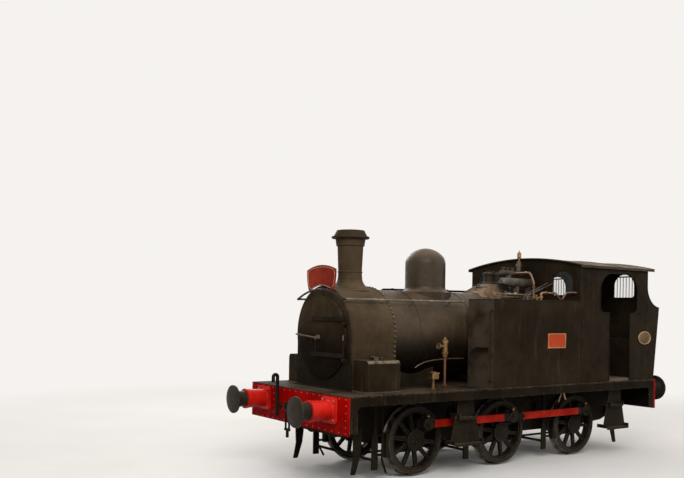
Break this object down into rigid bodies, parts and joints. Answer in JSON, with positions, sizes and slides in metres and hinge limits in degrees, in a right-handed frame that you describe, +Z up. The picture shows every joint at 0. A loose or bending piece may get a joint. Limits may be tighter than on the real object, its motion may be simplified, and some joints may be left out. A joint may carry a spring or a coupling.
{
  "type": "six-coupled side tank industrial steam locomotive",
  "caption": "Small industrial side tank steam locomotive on spoked wheels with coupling rods, open-sided cab, tall chimney and dome.",
  "frame": {"origin": "middle of the engine, on its centre line, at the lowest point of the wheel flanges", "axes": "+X forward to the chimney end, +Y to the engine's left, +Z up"},
  "size_m": [7.774, 2.6, 3.5539],
  "materials": {
    "black_paint": "satin",
    "red_paint": "satin",
    "worn_black_iron": "matte",
    "brass_fittings": "satin",
    "copper_pipes": "satin",
    "bright_steel": "satin",
    "window_glass": "gloss",
    "wood_boards": "matte"
  },
  "bodies": {
    "chassis": {"ashpan": "worn_black_iron", "axleboxes": "worn_black_iron", "blast_pipe": "black_paint", "boiler_bands": "black_paint", "boiler_barrel": "black_paint", "brake_gear": "worn_black_iron", "brass_fittings": "brass_fittings", "buffer_heads": "worn_black_iron", "buffer_sockets": "red_paint", "bunker": "black_paint", "cab_fittings": "black_paint", "cab_floor": "wood_boards", "cab_front": "black_paint", "cab_rear": "black_paint", "cab_side_left": "black_paint", "cab_side_right": "black_paint", "chimney": "black_paint", "copper_pipes": "copper_pipes", "cylinder_block": "black_paint", "dome": "black_paint", "door_hinge_post": "bright_steel", "draw_gear": "worn_black_iron", "firebox_casing": "black_paint", "footplate": "black_paint", "frame_stretchers": "black_paint", "front_beam": "red_paint", "guard_irons": "worn_black_iron", "handrails": "bright_steel", "headboard": "red_paint", "leaf_springs": "worn_black_iron", "main_frames": "black_paint", "number_plates": "red_paint", "rear_beam": "red_paint", "roof": "black_paint", "safety_valves": "black_paint", "sandboxes": "black_paint", "side_tank_left": "black_paint", "side_tank_right": "black_paint", "smokebox": "black_paint", "steam_fittings": "black_paint", "steps": "black_paint", "vacuum_pipes": "black_paint", "valances": "black_paint", "window_glass": "window_glass", "works_plates": "brass_fittings"},
    "wheelset_leading": {"axle_leading": "worn_black_iron", "wheels_leading": "worn_black_iron"},
    "wheelset_driving": {"axle_driving": "worn_black_iron", "wheels_driving": "worn_black_iron"},
    "wheelset_trailing": {"axle_trailing": "worn_black_iron", "wheels_trailing": "worn_black_iron"},
    "rod_left": {"coupling_rod_left": "red_paint"},
    "rod_right": {"coupling_rod_right": "red_paint"},
    "door": {"door_fittings": "bright_steel", "smokebox_door": "black_paint"},
    "sandbox_lid_left_body": {"sandbox_lid_left": "black_paint"},
    "sandbox_lid_right_body": {"sandbox_lid_right": "black_paint"},
    "tank_lid_left_body": {"tank_lid_left": "black_paint"},
    "tank_lid_right_body": {"tank_lid_right": "black_paint"}
  },
  "joints": [
    {"name": "axle_turn_driving", "type": "hinge", "parent": "chassis", "child": "wheelset_driving", "pos_m": [0.027, 0, 0.518], "axis": [0, 1, 0], "continuous": true},
    {"name": "axle_turn_leading", "type": "hinge", "parent": "chassis", "child": "wheelset_leading", "pos_m": [1.768, 0, 0.518], "axis": [0, 1, 0], "continuous": true},
    {"name": "axle_turn_trailing", "type": "hinge", "parent": "chassis", "child": "wheelset_trailing", "pos_m": [-1.714, 0, 0.518], "axis": [0, 1, 0], "continuous": true},
    {"name": "rod_turn_left", "type": "hinge", "parent": "wheelset_driving", "child": "rod_left", "pos_m": [-0.09603, 0.946, 0.75946], "axis": [0, 1, 0], "continuous": true},
    {"name": "rod_turn_right", "type": "hinge", "parent": "wheelset_driving", "child": "rod_right", "pos_m": [0.26846, -0.946, 0.64103], "axis": [0, 1, 0], "continuous": true},
    {"name": "door_swing", "type": "hinge", "parent": "chassis", "child": "door", "pos_m": [2.917, 0.602, 1.978], "axis": [0, 0, 1], "range_deg": [0, 110]},
    {"name": "sandbox_lid_left_open", "type": "hinge", "parent": "chassis", "child": "sandbox_lid_left_body", "pos_m": [2.521, 0.762, 1.726], "axis": [1, 0, 0], "range_deg": [0, 95]},
    {"name": "tank_lid_left_open", "type": "hinge", "parent": "chassis", "child": "tank_lid_left_body", "pos_m": [0.001, 0.802, 2.605], "axis": [1, 0, 0], "range_deg": [0, 100]},
    {"name": "sandbox_lid_right_open", "type": "hinge", "parent": "chassis", "child": "sandbox_lid_right_body", "pos_m": [2.521, -0.762, 1.726], "axis": [-1, 0, 0], "range_deg": [0, 95]},
    {"name": "tank_lid_right_open", "type": "hinge", "parent": "chassis", "child": "tank_lid_right_body", "pos_m": [0.001, -0.802, 2.605], "axis": [-1, 0, 0], "range_deg": [0, 100]}
  ],
  "couplings": [
    {"joint": "axle_turn_leading", "follows": "axle_turn_driving", "ratio": 1},
    {"joint": "axle_turn_trailing", "follows": "axle_turn_driving", "ratio": 1},
    {"joint": "rod_turn_left", "follows": "axle_turn_driving", "ratio": -1},
    {"joint": "rod_turn_right", "follows": "axle_turn_driving", "ratio": -1}
  ]
}
